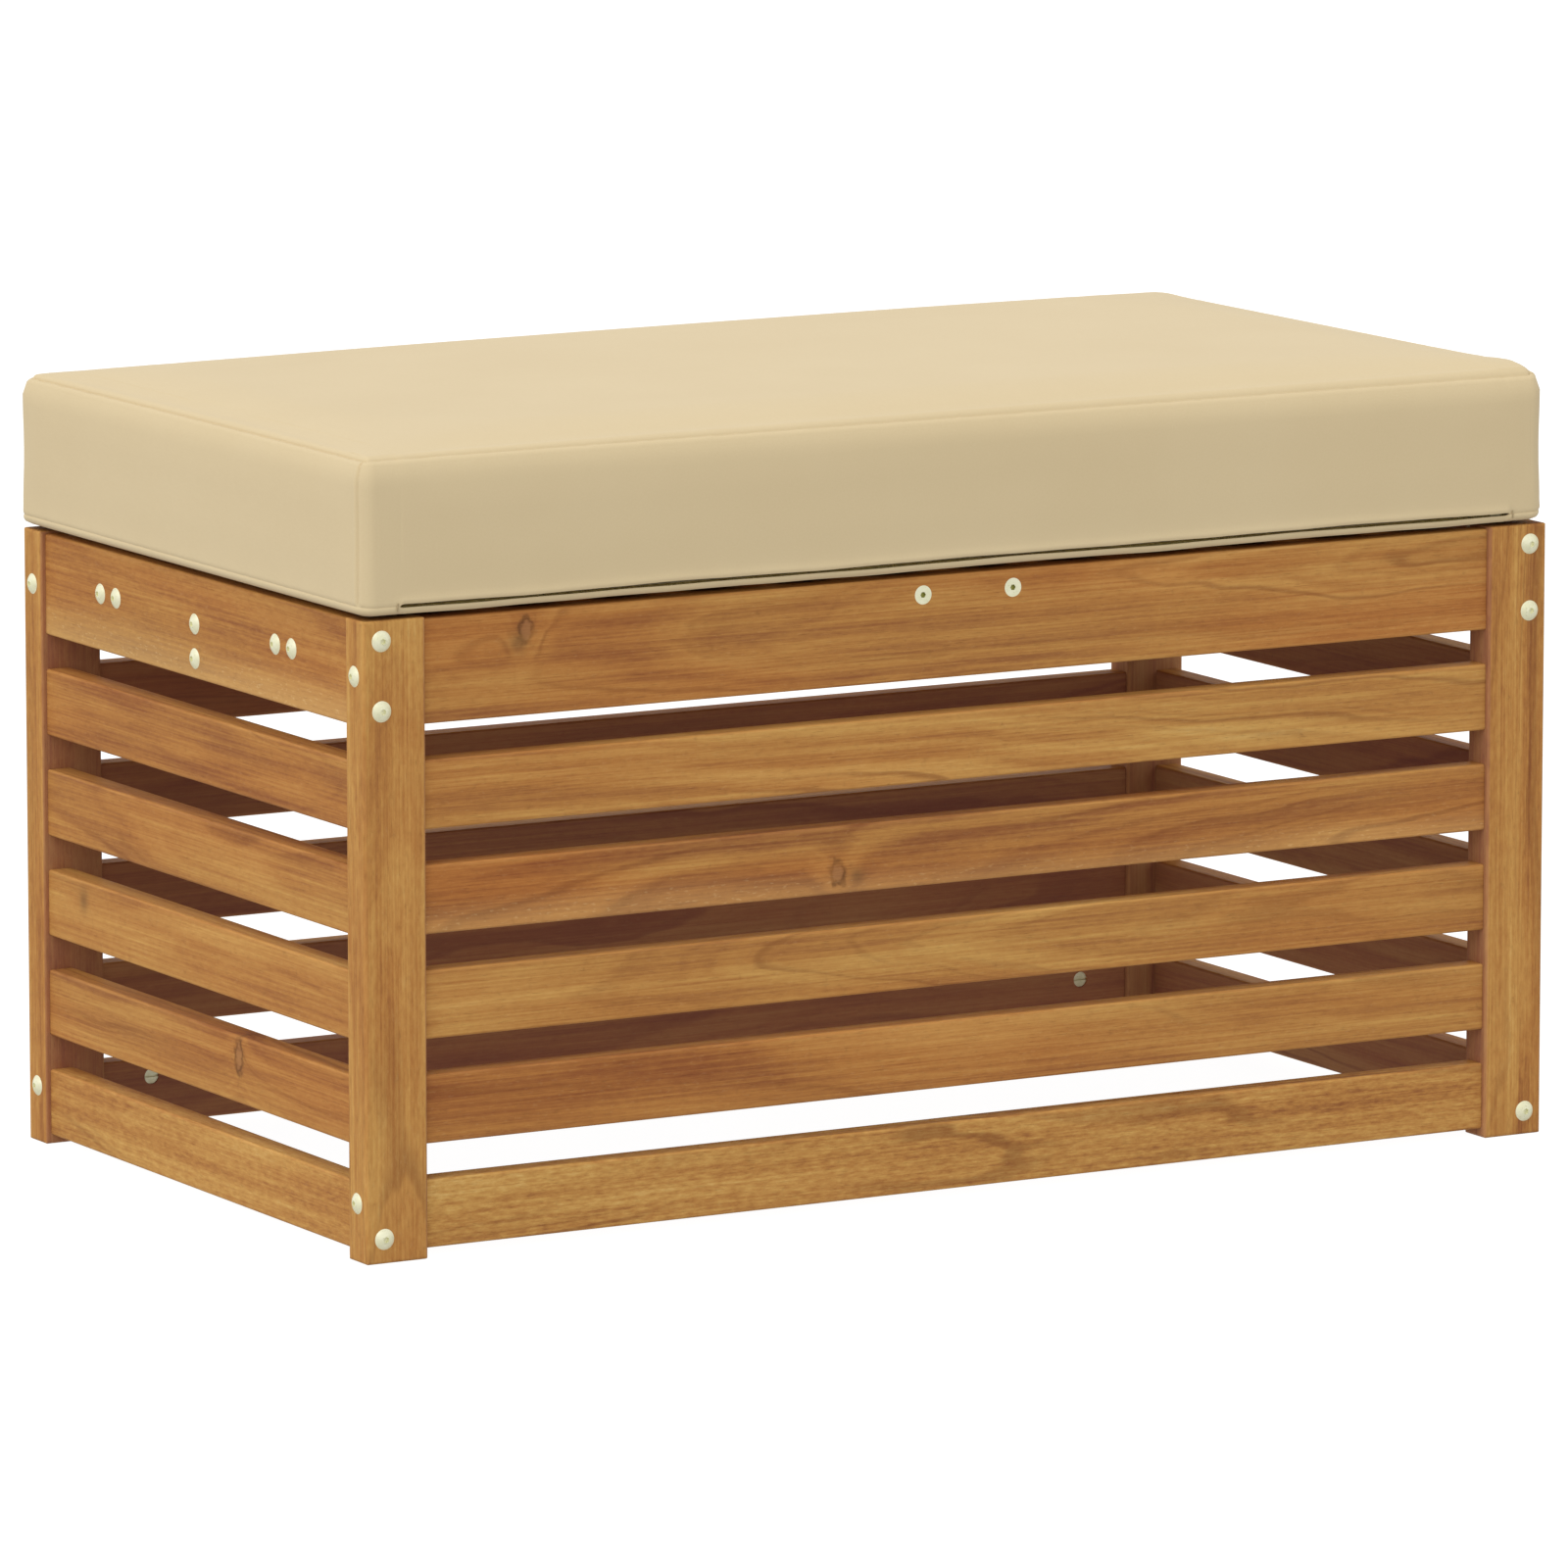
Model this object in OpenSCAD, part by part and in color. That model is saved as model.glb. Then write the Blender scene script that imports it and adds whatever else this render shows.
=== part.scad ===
// Slatted deck box bench in oiled hardwood. Four posts carry slatted sides, a fixed
// slatted seat deck lies on three bearers inside the top rails, and a loose zipped box
// cushion lies on top. The box has no floor: its inside is open to the ground.
// Millimetres. The origin is on the floor under the middle of the frame, with +X along
// the length, +Y towards the back and +Z up.

/* [Frame] */
// Length of the wooden frame over its posts
frame_l = 1000; // [860:10:1200]
// Depth of the wooden frame over its posts
frame_d = 545; // [480:5:640]
// Rows of slats between the top and bottom rails of each side
slat_rows = 4; // [2:1:5]
// Gap between the floor and the bottom rails
floor_gap = 7; // [5:1:30]
// Step of the posts' tops above the top rails
top_step = 2; // [0:0.5:6]

/* [Timber] */
// Width of a post, along the length of the frame
post_w = 50; // [44:1:60]
// Thickness of a post, along the depth of the frame
post_t = 28; // [28:1:40]
// Width of the slats, bottom rails, bearers and seat slats
slat_w = 50; // [44:1:54]
// Gap between neighbouring slats
slat_gap = 26; // [20:1:40]
// Width of the top rails
top_rail_w = 76; // [76:1:90]
// Thickness of all rails, slats and bearers
board_t = 20; // [18:1:22]
// Step of the rails behind the posts' outer faces
rail_step = 4.5; // [3:0.5:6]
// Rounding of the long edges of the boards
board_r = 2; // [1:0.5:3]
// Rounding of the posts' edges
post_r = 2.5; // [1:0.5:4]

/* [Cushion] */
// Thickness of the cushion
cushion_h = 114; // [80:1:140]
// Length of the cushion
cushion_l = 1000; // [840:5:1010]
// Depth of the cushion
cushion_d = 551; // [460:1:560]
// Shift of the cushion along the frame, because it lies loose
cushion_shift = -3; // [-5:1:5]
// Rounding of the cushion's edges
cushion_r = 12; // [12:1:20]
// Thickness of the cover's cloth with its lining
cloth_t = 1.2; // [0.8:0.1:2]
// Length of the zip's opening along the front
zip_l = 937; // [600:1:960]
// Height of the zip above the cushion's underside
zip_z = 9; // [9:0.5:12]

/* [Fasteners] */
// Diameter of the connector bolts' heads
head_d = 15.3; // [12:0.1:17]
// Height of the connector bolts' heads
head_h = 3; // [2:0.1:4]
// Diameter of the connector bolts' shanks
bolt_d = 6; // [5:0.5:7]
// Diameter of the barrel nuts
nut_d = 12; // [10:0.5:13]
// Diameter of the wooden dowels
dowel_d = 8; // [6:0.5:9]

/* [Hidden] */
$fn = 48;
eps = 1;                               // overrun of a cut past the face that it opens
row_step = slat_w + slat_gap;
top_rail_z = floor_gap + (slat_rows + 1) * row_step;
frame_h = top_rail_z + top_rail_w + top_step;
rail_c = rail_step + board_t / 2;      // rail centreline behind the posts' outer face
long_l = frame_l - 2 * post_w;         // length of the front and back rails and slats
end_l = frame_d - 2 * post_t;          // length of the end rails and slats

// Bores
bolt_bore_r = bolt_d / 2 + 0.5;
nut_bore_r = nut_d / 2 + 0.1;
thread_bore_r = bolt_d / 2 + 0.05;
dowel_bore_r = dowel_d / 2 + 0.05;

// Connector bolts and barrel nuts
long_bolt_l = 100;                     // through a post and into a front or back rail
end_bolt_l = 80;                       // through a post and into an end rail
bearer_bolt_l = 60;                    // through an end rail and into a bearer
rail_nut_set = 41;                     // nut axis behind the end of a rail
bearer_nut_set = 32;                   // nut axis behind the end of a bearer
nut_l = 15.5;
nut_sink = 1;                          // nut end below the board's inner face
nut_bore_l = 17;
slot_w = 1.6;
slot_deep = 1.2;
socket_af = 4;                         // across the flats of a hexagon socket
socket_deep = 2;

// Dowels
dowel_l = 36;
dowel_bore_l = dowel_l / 2 + 1;

// Heights of bolts and dowels above a board's lower edge
slat_dowels = [slat_w / 4, slat_w * 3 / 4];
long_top_bolts = [37];
long_top_dowels = [12, 62];
long_bottom_bolts = [36];
long_bottom_dowels = [13];
end_top_bolts = [12.5, 63];
end_bottom_bolts = [11];
end_bottom_dowels = [24];

// Seat deck
bearer_l = frame_l - 2 * (rail_step + board_t);
bearer_y = [-140.5, 0, 140.5];         // front batten, middle beam on edge, back batten
bearer_top = top_rail_z + 52.5;
bearer_bolts = [slat_w / 2 - 12.75, slat_w / 2 + 12.75];
seat_l = frame_d - 2 * (rail_step + board_t);
seat_step = slat_w + 26;
seat_pairs = floor((long_l / 2 - slat_w / 2 - seat_step / 2) / seat_step) + 1;
seat_count = 2 * seat_pairs;
tie_x = [-seat_step / 2, seat_step / 2];
tie_z = bearer_top + board_t / 2;

// Wood screws
tie_screw_l = 60;
tie_head_r = 7;
tie_shank_r = 2.5;
deck_screw_l = 32;
deck_head_r = 4;
deck_shank_r = 2;
screw_play = 0.15;                     // bore radius over screw radius

// Cushion
cushion_rest = 0.3;                    // air between the cushion and the posts' tops
cushion_z = frame_h + cushion_rest;
zip_slit_h = 2.4;
zip_behind = 7;                        // front of the coils behind the cushion's front
coil_w = 5;                            // across both coils
coil_t = 2;
coil_gap = 0.9;                        // between the two coils
tape_t = 0.6;
tape_turn = 5;                         // where a tape turns forwards to the cover
tape_sewn = 14;                        // upper edge of the tape that is sewn to the cover
slider_l = 10;
slider_w = 8;
slider_t = 4.4;
slider_gap = 0.3;                      // air round the coils and tapes inside the slider
blade_t = coil_gap - 2 * slider_gap;
blade_l = 4;
slider_home = zip_l / 2 - 9;           // slider's middle when the zip is shut
foam_gap = 1;
zip_room = [zip_l + 20, 12, 22];       // space left free of foam for the zip

SIDES = ["front", "back", "left", "right"];
POSTS = ["front_left", "front_right", "back_left", "back_right"];

function row_z(row) = floor_gap + (slat_rows + 1 - row) * row_step;
function seat_x(i) = (i - (seat_count + 1) / 2) * seat_step;
function is_long(side) = side == "front" || side == "back";
function two_digits(i) = str(i < 10 ? "0" : "", i);

POST_TONE = [0.71, 0.52, 0.29];
RAIL_TONE = [0.66, 0.44, 0.24];
SEAT_TONE = [0.62, 0.40, 0.22];
DOWEL_TONE = [0.84, 0.72, 0.52];
ZINC_TONE = [0.88, 0.87, 0.70];
CLOTH_TONE = [0.87, 0.78, 0.61];
FOAM_TONE = [0.95, 0.92, 0.80];
ZIP_TONE = [0.52, 0.44, 0.28];

// ---- Shapes that repeat ----

// A round rod from a point along +X or +Y, for bores as well as for pins
module rod_x(at, l, r) translate(at) rotate([0, 90, 0]) cylinder(h = l, r = r);
module rod_y(at, l, r) translate(at) rotate([-90, 0, 0]) cylinder(h = l, r = r);

// A rectangle with round corners, centred
module round_rect(w, h, r) {
    square([w - 2 * r, h], center = true);
    square([w, h - 2 * r], center = true);
    for (x = [-1, 1], y = [-1, 1])
        translate([x * (w / 2 - r), y * (h / 2 - r)]) circle(r);
}

// A planed board with eased long edges: l along X, t thick in Y, w wide from z = 0
module board(l, t, w)
    translate([0, 0, w / 2]) rotate([90, 0, 90])
        linear_extrude(l, center = true) round_rect(t, w, board_r);

// A block with all its edges rounded, centred in X and Y and standing on z = 0
module round_block(l, d, h, r)
    translate([0, 0, h / 2]) intersection() {
        linear_extrude(h, center = true) round_rect(l, d, r);
        rotate([90, 0, 90]) linear_extrude(l, center = true) round_rect(d, h, r);
        rotate([90, 0, 0]) linear_extrude(d, center = true) round_rect(l, h, r);
    }

// Both ends of a board: the children are made at its -X end
module both_ends() {
    children();
    mirror([1, 0, 0]) children();
}

// A corner's own axes: x and y run inwards from the post's outer faces
module at_corner(x_side, y_side)
    translate([x_side * frame_l / 2, y_side * frame_d / 2, 0])
        mirror([x_side > 0 ? 1 : 0, 0, 0]) mirror([0, y_side > 0 ? 1 : 0, 0])
            children();

// A side's own axes: x along the boards, +y towards the inside of the box
module on_side(side, z = 0) {
    if (side == "front") translate([0, rail_c - frame_d / 2, z]) children();
    if (side == "back") mirror([0, 1, 0]) on_side("front", z) children();
    if (side == "left")
        translate([rail_c - frame_l / 2, 0, z]) rotate([0, 0, -90]) children();
    if (side == "right") mirror([1, 0, 0]) on_side("left", z) children();
}

// ---- Fasteners ----

// A domed connector bolt that enters along +X, its head seated at x = 0
module bolt(l) {
    dome_r = (pow(head_d / 2, 2) + pow(head_h, 2)) / (2 * head_h);
    rotate([0, 90, 0]) {
        difference() {
            intersection() {
                translate([0, 0, dome_r - head_h]) sphere(dome_r);
                translate([0, 0, -head_h - eps]) cylinder(h = head_h + eps, d = head_d + 2);
            }
            translate([0, 0, -head_h - eps])
                cylinder(h = socket_deep + eps, d = socket_af / cos(30), $fn = 6);
        }
        cylinder(h = l, d = bolt_d);
    }
}

// A barrel nut in a board's own axes: its end shows at the +Y face, its thread is along X
module barrel_nut(at)
    translate(at) difference() {
        rod_y([0, board_t / 2 - nut_sink - nut_l, 0], nut_l, nut_d / 2);
        rod_x([-nut_d, 0, 0], 2 * nut_d, thread_bore_r);
        translate([0, board_t / 2 - nut_sink, 0])
            cube([nut_d + eps, 2 * slot_deep, slot_w], center = true);
    }

// A countersunk screw that enters along -Z, its head flush at z = 0
module csk_screw(l, head_r, shank_r, socket = false)
    difference() {
        union() {
            translate([0, 0, shank_r - head_r])
                cylinder(h = head_r - shank_r, r1 = shank_r, r2 = head_r);
            translate([0, 0, -l]) cylinder(h = l, r = shank_r);
        }
        if (socket)
            translate([0, 0, -socket_deep])
                cylinder(h = socket_deep + eps, d = socket_af / cos(30), $fn = 6);
        else
            for (turn = [0, 90])
                rotate(turn) cube([head_r * 1.1, head_r / 4, head_r / 2], center = true);
    }

// The hole that such a screw needs
module csk_bore(l, head_r, shank_r) {
    grow = screw_play * 2;
    translate([0, 0, shank_r - head_r])
        cylinder(h = head_r - shank_r + grow, r1 = shank_r, r2 = head_r + grow);
    translate([0, 0, -l - grow]) cylinder(h = l + grow + eps, r = shank_r + screw_play);
}

// ---- Boards ----

// A rail or slat in its side's own axes, bored for the bolts, nuts and dowels at its ends
module rail(l, w, bolts, dowels, bolt_in, nut_set)
    difference() {
        board(l, board_t, w);
        both_ends() {
            for (z = bolts) {
                rod_x([-l / 2 - eps, 0, z], bolt_in + 2 * eps, bolt_bore_r);
                rod_y([nut_set - l / 2, board_t / 2 - nut_bore_l, z], nut_bore_l + eps,
                      nut_bore_r);
            }
            for (z = dowels)
                rod_x([-l / 2 - eps, 0, z], dowel_bore_l + eps, dowel_bore_r);
        }
    }

module side_rail(side, w, z, long_bolts, long_dowels, end_bolts, end_dowels)
    on_side(side, z) {
        if (is_long(side))
            rail(long_l, w, long_bolts, long_dowels, long_bolt_l - post_w, rail_nut_set);
        else
            rail(end_l, w, end_bolts, end_dowels, end_bolt_l - post_t, rail_nut_set);
    }

// The bolts' paths through an end top rail into the three bearers, in the room's axes
module bearer_bolt_places()
    both_ends() translate([rail_step - frame_l / 2, 0, bearer_top]) {
        for (y = [bearer_y[0], bearer_y[2]], across = bearer_bolts)
            translate([0, y + across - slat_w / 2, -board_t / 2]) children();
        for (up = bearer_bolts)
            translate([0, bearer_y[1], up - slat_w]) children();
    }

module tie_screw_places()
    for (turn = [0, 180], x = tie_x)
        rotate(turn) translate([x, rail_step - frame_d / 2, tie_z]) rotate([90, 0, 0])
            children();

module top_rail(side)
    color(RAIL_TONE) difference() {
        side_rail(side, top_rail_w, top_rail_z, long_top_bolts, long_top_dowels,
                  end_top_bolts, []);
        if (is_long(side))
            tie_screw_places() csk_bore(tie_screw_l, tie_head_r, tie_shank_r);
        else
            bearer_bolt_places() rod_x([-eps, 0, 0], board_t + 2 * eps, bolt_bore_r);
    }

module bottom_rail(side)
    color(RAIL_TONE)
        side_rail(side, slat_w, floor_gap, long_bottom_bolts, long_bottom_dowels,
                  end_bottom_bolts, end_bottom_dowels);

module side_slat(side, row)
    color(RAIL_TONE) side_rail(side, slat_w, row_z(row), [], slat_dowels, [], slat_dowels);

// A corner post, bored from its outer faces for bolts and from its inner faces for dowels
module post(x_side, y_side) {
    rows = [for (row = [1:slat_rows]) for (z = slat_dowels) row_z(row) + z];
    long_bolts = concat([for (z = long_top_bolts) top_rail_z + z],
                        [for (z = long_bottom_bolts) floor_gap + z]);
    end_bolts = concat([for (z = end_top_bolts) top_rail_z + z],
                       [for (z = end_bottom_bolts) floor_gap + z]);
    long_dowels = concat([for (z = long_top_dowels) top_rail_z + z], rows,
                         [for (z = long_bottom_dowels) floor_gap + z]);
    end_dowels = concat(rows, [for (z = end_bottom_dowels) floor_gap + z]);
    color(POST_TONE) at_corner(x_side, y_side) difference() {
        translate([post_w / 2, post_t / 2, 0]) round_block(post_w, post_t, frame_h, post_r);
        for (z = long_bolts) rod_x([-eps, rail_c, z], post_w + 2 * eps, bolt_bore_r);
        for (z = end_bolts) rod_y([rail_c, -eps, z], post_t + 2 * eps, bolt_bore_r);
        for (z = long_dowels)
            rod_x([post_w - dowel_bore_l, rail_c, z], dowel_bore_l + eps, dowel_bore_r);
        for (z = end_dowels)
            rod_y([rail_c, post_t - dowel_bore_l, z], dowel_bore_l + eps, dowel_bore_r);
    }
}

// ---- Seat deck ----

// A bearer's own axes: the middle one stands on edge, the outer two lie flat
module on_bearer(i)
    if (i == 1)
        translate([0, bearer_y[i], bearer_top - slat_w]) children();
    else
        translate([0, bearer_y[i] - slat_w / 2, bearer_top - board_t / 2])
            rotate([-90, 0, 0]) children();

module deck_screw_places()
    for (n = [1:seat_count], y = bearer_y)
        translate([seat_x(n), y, bearer_top + board_t]) children();

module bearer(i)
    color(SEAT_TONE) difference() {
        on_bearer(i)
            rail(bearer_l, slat_w, bearer_bolts, [], bearer_bolt_l - board_t, bearer_nut_set);
        for (n = [1:seat_count])
            translate([seat_x(n), bearer_y[i], bearer_top + board_t])
                csk_bore(deck_screw_l, deck_head_r, deck_shank_r);
    }

module seat_slat(n)
    color(SEAT_TONE) difference() {
        translate([seat_x(n), 0, bearer_top]) rotate([0, 0, 90]) board(seat_l, slat_w, board_t);
        for (y = bearer_y)
            translate([seat_x(n), y, bearer_top + board_t])
                csk_bore(deck_screw_l, deck_head_r, deck_shank_r);
        if (abs(seat_x(n)) < seat_step)
            tie_screw_places() csk_bore(tie_screw_l, tie_head_r, tie_shank_r);
    }

// ---- Fastener groups ----

module rail_bolts(side, l, bolt_l, through, z0, levels)
    on_side(side, z0) both_ends()
        for (z = levels) translate([-l / 2 - through, 0, z]) bolt(bolt_l);

module rail_nuts(side, l, z0, levels)
    on_side(side, z0) both_ends() for (z = levels) barrel_nut([rail_nut_set - l / 2, 0, z]);

module board_dowels(side, l, z0, levels)
    on_side(side, z0) both_ends()
        for (z = levels) rod_x([-(l + dowel_l) / 2, 0, z], dowel_l, dowel_d / 2);

module long_rail_bolts()
    color(ZINC_TONE) for (side = ["front", "back"]) {
        rail_bolts(side, long_l, long_bolt_l, post_w, top_rail_z, long_top_bolts);
        rail_bolts(side, long_l, long_bolt_l, post_w, floor_gap, long_bottom_bolts);
    }

module end_rail_bolts()
    color(ZINC_TONE) for (side = ["left", "right"]) {
        rail_bolts(side, end_l, end_bolt_l, post_t, top_rail_z, end_top_bolts);
        rail_bolts(side, end_l, end_bolt_l, post_t, floor_gap, end_bottom_bolts);
    }

module bearer_bolt_group() color(ZINC_TONE) bearer_bolt_places() bolt(bearer_bolt_l);

module long_rail_barrel_nuts()
    color(ZINC_TONE) for (side = ["front", "back"]) {
        rail_nuts(side, long_l, top_rail_z, long_top_bolts);
        rail_nuts(side, long_l, floor_gap, long_bottom_bolts);
    }

module end_rail_barrel_nuts()
    color(ZINC_TONE) for (side = ["left", "right"]) {
        rail_nuts(side, end_l, top_rail_z, end_top_bolts);
        rail_nuts(side, end_l, floor_gap, end_bottom_bolts);
    }

module bearer_barrel_nuts()
    color(ZINC_TONE) for (i = [0:2]) on_bearer(i) both_ends()
        for (z = bearer_bolts) barrel_nut([bearer_nut_set - bearer_l / 2, 0, z]);

module seat_tie_screws()
    color(ZINC_TONE) tie_screw_places()
        csk_screw(tie_screw_l, tie_head_r, tie_shank_r, socket = true);

module seat_slat_screws()
    color(ZINC_TONE) deck_screw_places() csk_screw(deck_screw_l, deck_head_r, deck_shank_r);

module rail_dowels()
    color(DOWEL_TONE) {
        for (side = ["front", "back"]) {
            board_dowels(side, long_l, top_rail_z, long_top_dowels);
            board_dowels(side, long_l, floor_gap, long_bottom_dowels);
        }
        for (side = ["left", "right"])
            board_dowels(side, end_l, floor_gap, end_bottom_dowels);
    }

module slat_dowel_group()
    color(DOWEL_TONE) for (side = SIDES, row = [1:slat_rows])
        board_dowels(side, is_long(side) ? long_l : end_l, row_z(row), slat_dowels);

// ---- Cushion ----

module in_cushion() translate([cushion_shift, 0, cushion_z]) children();

// The zip's own axes: x along the zip, +y into the cushion from its front, z = 0 at the zip
module at_zip() in_cushion() translate([0, -cushion_d / 2, zip_z]) children();

module cover_inside(inset)
    in_cushion() translate([0, 0, inset])
        round_block(cushion_l - 2 * inset, cushion_d - 2 * inset, cushion_h - 2 * inset,
                    cushion_r - inset);

module cushion_cover()
    color(CLOTH_TONE) difference() {
        in_cushion() round_block(cushion_l, cushion_d, cushion_h, cushion_r);
        cover_inside(cloth_t);
        at_zip() cube([zip_l, 4 * cloth_t, zip_slit_h], center = true);
    }

module cushion_foam()
    color(FOAM_TONE) difference() {
        cover_inside(cloth_t + foam_gap);
        at_zip() translate([-zip_room[0] / 2, 0, -zip_z]) cube(zip_room);
    }

// Both halves of the zip: the children are made above it
module both_halves() {
    children();
    mirror([0, 0, 1]) children();
}

// The two tapes that carry the coils. Each turns forwards behind the cover's lip and meets
// the cover; the upper one then runs up the inside of the front.
module zip_tape() {
    tape_l = zip_l + 12;
    back = zip_behind + (coil_t - tape_t) / 2;
    color(CLOTH_TONE) intersection() {
        cover_inside(cloth_t);
        at_zip() {
            both_halves() {
                translate([-tape_l / 2, back, coil_w / 2])
                    cube([tape_l, tape_t, tape_turn + tape_t - coil_w / 2]);
                translate([-tape_l / 2, 0, tape_turn]) cube([tape_l, back + tape_t, tape_t]);
            }
            translate([-tape_l / 2, 0, tape_turn])
                cube([tape_l, cloth_t + tape_t, tape_sewn - tape_turn]);
        }
    }
}

module zip_coil() {
    one_w = (coil_w - coil_gap) / 2;
    color(ZIP_TONE) at_zip() both_halves()
        translate([0, zip_behind + coil_t / 2, (coil_gap + one_w) / 2])
            rotate([90, 0, 90]) linear_extrude(zip_l + 8, center = true)
                round_rect(coil_t, one_w, coil_t / 4);
}

// The slider closes round both coils, with a slot for the tape above and below. Its two
// plates are joined by a blade that runs between the coils.
module zip_slider()
    color(ZINC_TONE) at_zip() translate([slider_home, zip_behind + coil_t / 2, 0]) {
        difference() {
            rotate([90, 0, 90]) linear_extrude(slider_l, center = true)
                round_rect(slider_t, slider_w, slider_t / 4);
            cube([slider_l + eps, coil_t + 2 * slider_gap, coil_w + 2 * slider_gap],
                 center = true);
            cube([slider_l + eps, tape_t + 2 * slider_gap, slider_w + eps], center = true);
        }
        translate([(slider_l - blade_l) / 2, 0, 0])
            cube([blade_l, slider_t - 1, blade_t], center = true);
    }

// ---- Nodes ----

for (x = [0, 1], y = [0, 1])
    post(2 * x - 1, 2 * y - 1);
for (side = SIDES) top_rail(side);
for (side = SIDES) bottom_rail(side);
for (side = SIDES, row = [1:slat_rows])
    side_slat(side, row);
bearer(0);  // seat_batten_front
bearer(1);  // seat_beam
bearer(2);  // seat_batten_back
for (i = [1:seat_count])
    seat_slat(i);
long_rail_bolts();
long_rail_barrel_nuts();
end_rail_bolts();
end_rail_barrel_nuts();
bearer_bolt_group();  // bearer_bolts
bearer_barrel_nuts();
seat_tie_screws();
seat_slat_screws();
rail_dowels();
slat_dowel_group();  // slat_dowels
cushion_cover();
cushion_foam();
zip_tape();
zip_coil();
zip_slider();
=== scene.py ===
"""Looks for the slatted deck box bench: oiled hardwood boards, zinc-plated fasteners and a
zipped box cushion. Metres, in the CAD's own frame: the origin is on the floor under the
middle of the wooden frame, +X runs along its length, +Y to the back and +Z up."""

import math
import random

import bmesh
import bpy
import numpy as np
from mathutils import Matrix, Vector
from mathutils.kdtree import KDTree


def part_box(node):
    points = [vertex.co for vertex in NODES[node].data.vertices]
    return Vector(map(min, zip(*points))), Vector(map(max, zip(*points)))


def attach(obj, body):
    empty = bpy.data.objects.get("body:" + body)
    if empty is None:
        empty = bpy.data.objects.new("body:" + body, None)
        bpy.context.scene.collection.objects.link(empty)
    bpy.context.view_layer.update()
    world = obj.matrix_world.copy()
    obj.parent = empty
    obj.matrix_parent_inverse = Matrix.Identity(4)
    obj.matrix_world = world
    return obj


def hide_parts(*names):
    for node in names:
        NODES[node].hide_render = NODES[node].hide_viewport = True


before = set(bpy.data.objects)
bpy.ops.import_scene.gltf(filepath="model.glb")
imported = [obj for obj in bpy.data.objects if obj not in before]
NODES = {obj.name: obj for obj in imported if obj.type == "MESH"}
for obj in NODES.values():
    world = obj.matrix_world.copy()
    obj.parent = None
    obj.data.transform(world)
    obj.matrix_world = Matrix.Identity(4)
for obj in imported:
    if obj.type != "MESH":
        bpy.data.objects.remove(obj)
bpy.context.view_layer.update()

MM = 0.001
scene = bpy.context.scene


# ---- Shader nodes ----

def srgb(red, green, blue):
    """The shader colour of a colour as it is seen, each part from 0 to 255."""
    parts = [c / 255 for c in (red, green, blue)]
    return (*[c / 12.92 if c <= 0.04045 else ((c + 0.055) / 1.055) ** 2.4 for c in parts], 1)


class Net:
    """Builds a node tree with one short call for each node."""

    def __init__(self, tree):
        self.tree = tree

    def feed(self, socket, value):
        if isinstance(value, bpy.types.NodeSocket):
            self.tree.links.new(value, socket)
        else:
            socket.default_value = value

    def add(self, kind, values=None, **settings):
        node = self.tree.nodes.new("ShaderNode" + kind)
        for name, setting in settings.items():
            setattr(node, name, setting)
        for key, value in (values or {}).items():
            self.feed(node.inputs[key], value)
        return node

    def math(self, operation, *values, clamp=False):
        node = self.add("Math", operation=operation, use_clamp=clamp)
        for socket, value in zip(node.inputs, values):
            self.feed(socket, value)
        return node.outputs[0]

    def sum(self, *values):
        total = values[0]
        for value in values[1:]:
            total = self.math("ADD", total, value)
        return total

    def scaled(self, value, by, less=0.0):
        """(value - less) * by"""
        return self.math("MULTIPLY", self.math("SUBTRACT", value, less), by)

    def vector(self, x, y, z):
        return self.add("CombineXYZ", {0: x, 1: y, 2: z}).outputs[0]

    def stretch(self, vector, x, y, z):
        node = self.add("VectorMath", {0: vector, 1: (x, y, z)}, operation="MULTIPLY")
        return node.outputs[0]

    def noise(self, vector, detail=2.0, roughness=0.5, scale=1.0):
        node = self.add("TexNoise", {"Vector": vector, "Scale": scale, "Detail": detail,
                                     "Roughness": roughness})
        return node.outputs["Fac"]

    def smooth(self, value, low, high):
        """0 below low, 1 above high, with a smooth step between"""
        node = self.add("MapRange", {"Value": value, "From Min": low, "From Max": high},
                        interpolation_type="SMOOTHSTEP")
        return node.outputs[0]

    def mix(self, share, first, second, blend="MIX"):
        node = self.add("Mix", data_type="RGBA", blend_type=blend)
        for index, value in ((0, share), (6, first), (7, second)):
            self.feed(node.inputs[index], value)
        return node.outputs[2]

    def ramp(self, value, stops):
        node = self.add("ValToRGB", {0: value})
        elements = node.color_ramp.elements
        elements[0].position, elements[1].position = stops[0][0], stops[-1][0]
        elements[0].color, elements[1].color = stops[0][1], stops[-1][1]
        for place, colour in stops[1:-1]:
            elements.new(place).color = colour
        return node.outputs[0]


def material(name):
    """A new material with its net and its Principled shader."""
    made = bpy.data.materials.new(name)
    made.use_nodes = True
    net = Net(made.node_tree)
    return made, net, made.node_tree.nodes["Principled BSDF"]


def finish_surface(net, shader, colour, roughness, height, depth, strength=1.0, **fixed):
    """Links colour, roughness and a bump of the given depth, and sets fixed numbers."""
    net.feed(shader.inputs["Base Color"], colour)
    net.feed(shader.inputs["Roughness"], roughness)
    bump = net.add("Bump", {"Height": height, "Distance": depth, "Strength": strength})
    net.feed(shader.inputs["Normal"], bump.outputs[0])
    for name, value in fixed.items():
        shader.inputs[name.replace("_", " ")].default_value = value


# ---- Wood ----

WOOD_INPUTS = ["Along", "Across", "Depth", "Half Along", "Half Across", "Half Depth", "Seed",
               "Tone", "Drift", "Red", "Pith Across", "Pith Depth", "Lean", "Knot", "Smudge",
               "Pale", "Curl", "Inside"]
# The painted edge highlight, drawn like rubbed wear, reaches this far in from a long edge
EDGE_HIGHLIGHT_BAND = 3.2 * MM                    # how far in from a long edge the wood is rubbed


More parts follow.
